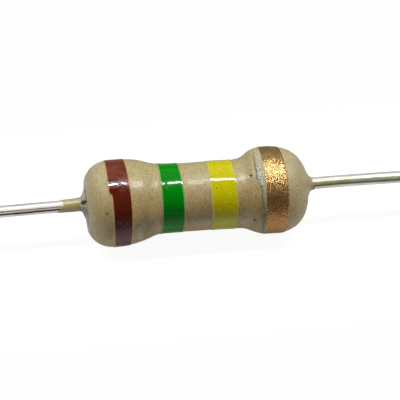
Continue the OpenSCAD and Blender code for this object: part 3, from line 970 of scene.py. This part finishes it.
def make_paint(name, colour, worn, low, rim, refraction, marks=(), haze=0):
    """Paint rolled on in a ring: hard gloss, clouded, and thin and pale at its rims."""
    material, b, place = new_finish(name)
    station, angle = b.group(place_tree, Place=place)
    shade, height = b.group(unevenness_tree, Place=place, Flow_Size=0.28, Skin_Size=0.07, Skin_Share=0.15)
    dark_grain, pale_grain = b.group(grain_tree, Place=place, Size=GRAIN_SIZE)
    from_edge = trait(b, "from_edge")
    cloudy = b.noise(place, 0.35, detail=3)
    edge = b.step(from_edge + b.wander(place, 0.08, 0.03), 0.072, 0.03)
    # Lower in front each paint takes its low colour, a painted shade
    painted = b.overlaid(colour, [
        (b.step(cloudy, 0.45, 0.75) * 0.5, worn),
        (b.crest(angle, 22, 14) * 0.45, low)])
    painted = b.mixed(dark_grain * 0.6, painted, b.scaled(painted, 0.6))
    painted = b.mixed(pale_grain * 0.6, painted, b.scaled(painted, 1.35))
    # A bead of clear varnish runs across it, high up in front. On the yellow it slumps, and on the green
    # it breaks.
    on_yellow = b.step(station, 0.3, 0.45)
    slump = b.ramp(station, 0.5, 1.5, 1, -0.5) * on_yellow
    bead = b.crest(angle + b.wander(b.joined(station, 0, 0), 0.5, 14) - slump * 4.5, BEAD_ANGLE,
                   5.5 - on_yellow * 1.5)
    broken = b.band(station, -1.2, 0.045, 0.02) * b.band(angle, 67, 8, 2)
    bead = bead * b.step(b.noise(place, 0.16), 0.3, 0.45) * (1 - broken)
    height = height + (angle - BEAD_ANGLE) * b.crest(angle, BEAD_ANGLE, 9) * slump * 0.12
    roughness = b.ramp(shade, 0.3, 0.7, 0.04, 0.08) + edge * 0.1 + broken * 0.5
    if haze:
        # The brown paint is painted paler above, a painted sheen. It has dried in a low ridge on one side and
        # dull on the other.
        painted_sheen = b.group(lit_side_tree, Place=place, Angle_From=64, Angle_To=74)
        swirl = b.noise(place, 0.14, distortion=1.2)
        dull = b.step(station, -3.14, -3.04) * b.step(swirl, 0.4, 0.5)
        ridge = b.step(station, -3.08, -3.16)
        past = angle - RIDGE_ANGLE
        sag = b.math("SINE", past * 0.785) * b.crest(past, 0, 6) * 0.13
        height = height * (1 - b.crest(past, 0, 8) * ridge * 0.7) + sag * ridge
        sheer = b.band(past, -0.6, 0.8, 0.4) + b.band(past, -6.2, 1.8, 0.5)
        roughness = roughness + dull * 0.22 + sheer * ridge * 0.5
        run = b.band(past + 1.6 + (station + 2.9) * 16, 0, 0.9, 0.5) * b.band(station, -2.87, 0.21, 0.04)
        inside = ridge * b.step(from_edge, 0.04, 0.09)
        bead = (b.band(past, -0.6, 3.6, 0.5) - b.band(past, -0.6, 1.1, 0.4)) * inside + run
        painted = b.overlaid(painted, [
            (painted_sheen * haze * b.step(cloudy, 0.2, 0.6), (0.185, 0.044, 0.016)),
            # Painted shade round the ridge's highlight
            (b.band(past, -0.6, 5.2, 1.2) * ridge * 0.5, (0.04, 0.01, 0.005))])
    return dressed(material, b, Base_Color=b.overlaid(painted, [(edge, rim), *specks(b, place, marks)]),
                   Roughness=roughness, Normal=raised(b, height, 0.014), IOR=refraction, Coat_Weight=bead,
                   Coat_Roughness=0.06 if haze else 0.13, Coat_IOR=1.8 if haze else 1.65)


def make_gold_paint():
    """Copper-coloured paint full of fine metal flakes, each lying at a slightly different tilt."""
    material, b, place = new_finish("gold_paint")
    angle = b.group(place_tree, Place=place)[1]
    flake = b.made("ShaderNodeTexVoronoi", {"Vector": place, "Scale": 48}, "Color")
    red, green, blue = b.parts(flake)
    tilt = b.scaled(b.vector_math("SUBTRACT", flake, (0.5, 0.5, 0.5)), 0.55)
    normal = b.made("ShaderNodeNewGeometry", out="Normal")
    tilted = b.vector_math("NORMALIZE", b.vector_math("ADD", normal, tilt))
    # Low in front it is painted darker, a painted shade
    painted_front_shade = b.group(lit_side_tree, Place=place, Angle_From=50, Angle_To=15)
    colour = b.overlaid((0.57, 0.31, 0.09), [
        (b.step(b.noise(place, 0.3, detail=3), 0.35, 0.65), (0.64, 0.38, 0.12)),
        # A painted highlight where the gleam falls, redder painted shade just below it and darker painted
        # shade at the top
        (b.crest(angle, 67, 6) * 0.5, (0.74, 0.62, 0.24)),
        (b.crest(angle, 47, 9) * 0.6, (0.8, 0.34, 0.055)),
        (b.band(angle, 84, 10, 4) * 0.3, (0.42, 0.24, 0.07)),
        (b.step(red, 0.5, 1) * 0.7, (0.87, 0.8, 0.46)),
        (b.step(blue, 0.6, 0.8) * 0.55, (0.3, 0.14, 0.04)),
        (painted_front_shade * (0.8 - b.step(red, 0.6, 0.9) * 0.35), (0.36, 0.135, 0.03)),
        (b.step(trait(b, "from_edge"), 0.03, 0) * 0.5, (0.45, 0.33, 0.16))])
    return dressed(material, b, Base_Color=colour, Roughness=b.ramp(green, 0, 1, 0.25, 0.38), Normal=tilted,
                   Metallic=0.85 - b.crest(angle, 45, 9) * 0.17)


def make_tinned_wire():
    """Tinned copper wire: drawing lines along it, a slightly yellow tarnish and small dents in the tin."""
    material, b, place = new_finish("tinned_wire")
    x, y, z = b.parts(place)
    drawn = b.joined(x * 0.08, y, z)
    lines = b.noise(drawn, 0.03, detail=3)
    tarnish = b.noise(place, 1.4, detail=3)
    # The left one has browned a little and the right one has turned yellow
    tarnished = b.mixed(b.step(x, -1, 1), (0.88, 0.77, 0.63), (0.83, 0.82, 0.5))
    # A painted dark reflection runs along the front, with painted highlight lines above it on the left
    angle = b.angle(y, z - LEAD_RISE + lead_sag(b, x)) + b.wander(b.joined(x, 0, 0), 0.9, 7)
    left = b.step(x, 1, -1)
    broken = b.step(b.noise(drawn, 0.4), 0.3, 0.5)
    sides = b.step(angle, -14, 4) * b.step(angle, 96, 74)
    painted_dark_reflection = b.band(angle, 11.5, 8, 2) * left + b.crest(angle, 16, 9) * (1 - left)
    painted_bright_lines = (b.band(angle, 28.5, 5.5, 2) * broken + b.crest(angle, 53, 6)) * left
    colour = b.overlaid((0.84, 0.83, 0.83), [
        ((b.step(tarnish, 0.3, 0.6) * 0.6 + 0.4) * sides, tarnished),
        (b.step(lines, 0.52, 0.72) * 0.5, (0.46, 0.39, 0.25)),
        # A thin painted dark reflection between the painted highlights on the left
        (b.band(angle, 39, 3.5, 1.5) * left * 0.6, (0.27, 0.18, 0.09)),
        (painted_dark_reflection * (0.9 + left * 0.1), b.mixed(left, (0.06, 0.05, 0.038), (0.012, 0.01, 0.008))),
        (painted_bright_lines, (1, 0.96, 0.88))])
    # The metal gives way where it is worn and under the painted highlight lines
    worn = b.larger(b.step(b.noise(drawn, 0.05), 0.5, 0.64), painted_bright_lines * 2.1)
    height = lines * 0.5 + b.noise(place, 0.2) * 0.5
    roughness = b.ramp(b.noise(drawn, 0.12), 0.3, 0.7, 0.38, 0.52)
    return dressed(material, b, Base_Color=colour, Metallic=0.84 - worn * 0.4, Roughness=roughness,
                   Normal=raised(b, height, 0.012))


def make_plain_finish(name, dark, pale, grain_size, smoothest, roughest, depth, drawn=1, metallic=0):
    """A finish with nothing but its grain, which may be drawn out along X."""
    material, b, place = new_finish(name)
    x, y, z = b.parts(place)
    grain = b.noise(b.joined(x * drawn, y, z), grain_size, detail=3)
    return dressed(material, b, Base_Color=b.mixed(grain, dark, pale), Metallic=metallic,
                   Roughness=b.ramp(grain, 0.3, 0.7, smoothest, roughest), Normal=raised(b, grain, depth))


tan_lacquer = make_tan_lacquer()
brown_paint = make_paint(
    "brown_paint", (0.115, 0.013, 0.003), (0.13, 0.02, 0.006), (0.065, 0.013, 0.006), (0.6, 0.38, 0.18), 1.45,
    [(-3.2, 19, 0.03, 0.016, PAINTED_GLINT_COLOUR), (-3.1, 16, 0.02, 0.016, PAINTED_GLINT_COLOUR),
     (-3, 12, 0.03, 0.018, PAINTED_GLINT_COLOUR), (-2.86, 15, 0.024, 0.016, PAINTED_GLINT_COLOUR)], haze=0.9)
green_paint = make_paint(
    "green_paint", (0.001, 0.25, 0.004), (0.002, 0.27, 0.006), (0.001, 0.11, 0.014), (0.34, 0.42, 0.15), 1.29)
yellow_paint = make_paint(
    "yellow_paint", (0.62, 0.555, 0.002), (0.64, 0.58, 0.008), (0.48, 0.4, 0), (0.58, 0.51, 0.14), 1.42,
    [(0.72, 54, 0.035, 0.03, (0.22, 0.17, 0.01)), (1.03, 31.2, 0.03, 0.018, (0.95, 0.93, 0.6))])
gold_paint = make_gold_paint()
tinned_wire = make_tinned_wire()
crumb_lacquer = make_plain_finish("crumb_lacquer", (0.66, 0.67, 0.58), (0.88, 0.89, 0.82), 0.03, 0.35, 0.55,
                                  0.004)
ceramic = make_plain_finish("ceramic", (0.72, 0.7, 0.66), (0.83, 0.82, 0.79), 0.05, 0.6, 0.8, 0.008)
carbon = make_plain_finish("carbon", (0.03, 0.03, 0.032), (0.07, 0.07, 0.072), 0.08, 0.35, 0.55, 0.004)
cap_steel = make_plain_finish("cap_steel", (0.52, 0.52, 0.51), (0.66, 0.66, 0.65), 0.08, 0.25, 0.4, 0.004,
                              drawn=0.2, metallic=1)


# The coat, the bands and the leads

turning_tree = make_turning_tree()
flaws_tree = make_flaws_tree()
paint_ring_tree = make_paint_ring_tree()

lacquer_coat = shaped(
    "lacquer_coat_skin", half_section("coat_section", coat_section(), SECTION_TRAITS),
    [(turning_tree, {"Steps Round": STEPS_ROUND, "Waviness": WAVINESS, "Left Slant": 0.16,
                     "Right Slant": 0.06, "Material": tan_lacquer}),
     (flaws_tree, {})], sharp=75)
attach(lacquer_coat, "root")
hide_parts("lacquer_coat")


def make_band(node, slot, edges, paint, seed, **sizes):
    """A painted ring. An underscore stands for the space in the name of a size."""
    inputs = {"Left Edge": edges[0], "Right Edge": edges[1], "Waviness": WAVINESS, "Seed": seed,
              "Material": paint}
    inputs.update({name.replace("_", " "): value for name, value in sizes.items()})
    section = half_section(node + "_section", paint_section())
    band = shaped(node + "_paint", section, [(paint_ring_tree, inputs)])
    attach(band, "root")
    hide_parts(node)
    return band


make_band("brown_band", "brown_paint", BROWN_EDGES, brown_paint, 1.0, Left_Bow=-0.02, Step_Back=0.115)
make_band("green_band", "green_paint", GREEN_EDGES, green_paint, 2.0, Left_Bow=0.04, Left_Lean=0.03)
make_band("yellow_band", "yellow_paint", YELLOW_EDGES, yellow_paint, 3.0, Left_Bow=0.01)
make_band("gold_band", "gold_paint", GOLD_EDGES, gold_paint, 4.0, Left_Bow=0.11, Right_Bow=0.16,
          Left_Lean=0.03)

crumbs = shaped("scar_crumbs", bpy.data.meshes.new("scar_crumbs"),
                [(make_crumbs_tree(), {"Material": crumb_lacquer})], sharp=20)
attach(crumbs, "root")

for node, sign, neck_len in (("left_lead", -1, LEFT_NECK_LEN), ("right_lead", 1, RIGHT_NECK_LEN)):
    section = half_section(node + "_section", lead_section(sign, neck_len), SECTION_TRAITS)
    wire = shaped(node + "_wire", section,
                  [(turning_tree, {"Steps Round": LEAD_STEPS_ROUND, "Material": tinned_wire})], sharp=30)
    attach(wire, "root")
    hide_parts(node)


# The pieces inside stay as the frame has them, and only take their finishes
for node, material in (("ceramic_rod", ceramic), ("carbon_film", carbon),
                       ("left_end_cap", cap_steel), ("right_end_cap", cap_steel)):
    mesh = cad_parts[node].data
    mesh.materials.clear()
    mesh.materials.append(material)


# Floor, light and camera

FLOOR_HALF = 1.5
CAMERA_AZIMUTH = math.radians(-7.4)
CAMERA_ELEVATION = math.radians(44)
CAMERA_AWAY = 0.2
CAMERA_LENS = 463.6
SHIFT_RIGHT = 0.17 * MM
SHIFT_DOWN = 0.1395 * MM
WORLD_STRENGTH = 0.03


def make_floor(height):
    """A pale floor, seen as white, that still takes the shadow."""
    material, b, place = new_finish("pale_floor")
    # The floor's tint is paler close to the part, a painted pool of light that the part gets back as bounce
    close = b.step(b.math("ABSOLUTE", b.parts(place)[1]), 6.5, 3)
    tint = b.mixed(close, (0.22, 0.22, 0.22), (0.75, 0.75, 0.75))
    tint = b.mixed(b.noise(place, 20) * 0.1, tint, (0.3, 0.3, 0.3))
    matt = b.node("ShaderNodeBsdfDiffuse", {"Color": tint})
    plain = b.node("ShaderNodeEmission", {"Color": (1, 1, 1), "Strength": 1.18})
    rays = b.node("ShaderNodeLightPath")
    # Gloss shows the white of the floor close to the part, and less of it further away
    mirrored = b.larger(b.figure(rays, "Is Glossy Ray"), b.figure(rays, "Is Transmission Ray"))
    looking = b.larger(b.figure(rays, "Is Camera Ray") * 0.8, mirrored * (close * 0.2 + 0.01))
    both = b.node("ShaderNodeMixShader", {0: looking, 1: b.figure(matt), 2: b.figure(plain)})
    b.node("ShaderNodeOutputMaterial", {"Surface": b.figure(both)})
    corners = [(-FLOOR_HALF, -FLOOR_HALF), (FLOOR_HALF, -FLOOR_HALF),
               (FLOOR_HALF, FLOOR_HALF), (-FLOOR_HALF, FLOOR_HALF)]
    mesh = bpy.data.meshes.new("floor")
    mesh.from_pydata([(x, y, height) for x, y in corners], [], [(0, 1, 2, 3)])
    mesh.materials.append(material)
    floor = bpy.data.objects.new("floor", mesh)
    bpy.context.scene.collection.objects.link(floor)
    return floor


def make_lamp(name, direction, distance, across, along, radiance):
    """A soft panel whose long side lies along X, facing the middle of the body."""
    data = bpy.data.lights.new(name, "AREA")
    data.shape = "RECTANGLE"
    data.size = along * MM
    data.size_y = across * MM
    data.energy = radiance * math.pi * data.size * data.size_y
    lamp = bpy.data.objects.new(name, data)
    direction = Vector(direction).normalized()
    lamp.location = direction * distance * MM
    lamp.rotation_mode = "QUATERNION"
    lamp.rotation_quaternion = direction.to_track_quat("Z", "Y")
    bpy.context.scene.collection.objects.link(lamp)
    return lamp


object_low, object_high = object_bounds()
make_floor(object_low.z)
make_lamp("overhead_strip", (0, 0.09, 1), distance=100, across=7.5, along=300, radiance=27)
make_lamp("back_panel", (0, 0.62, 0.78), distance=300, across=360, along=500, radiance=0.38)

world = bpy.data.worlds.new("dim_studio")
bpy.context.scene.world = world
world.use_nodes = True
sky = world.node_tree.nodes["Background"]
sky.inputs["Color"].default_value = (1, 1, 1, 1)
sky.inputs["Strength"].default_value = WORLD_STRENGTH

camera_data = bpy.data.cameras.new("camera")
camera_data.lens = CAMERA_LENS
camera_data.sensor_width = 36
camera_data.clip_start = 0.01
camera = bpy.data.objects.new("camera", camera_data)
level = math.cos(CAMERA_ELEVATION)
back = Vector((math.sin(CAMERA_AZIMUTH) * level, -math.cos(CAMERA_AZIMUTH) * level,
               math.sin(CAMERA_ELEVATION)))
right_way = Vector((math.cos(CAMERA_AZIMUTH), math.sin(CAMERA_AZIMUTH), 0))
up_way = back.cross(right_way)
camera.rotation_mode = "QUATERNION"
camera.rotation_quaternion = (-back).to_track_quat("-Z", "Y")
camera.location = back * CAMERA_AWAY + right_way * SHIFT_RIGHT - up_way * SHIFT_DOWN
bpy.context.scene.collection.objects.link(camera)
bpy.context.scene.camera = camera
bpy.context.scene.view_settings.view_transform = "Standard"
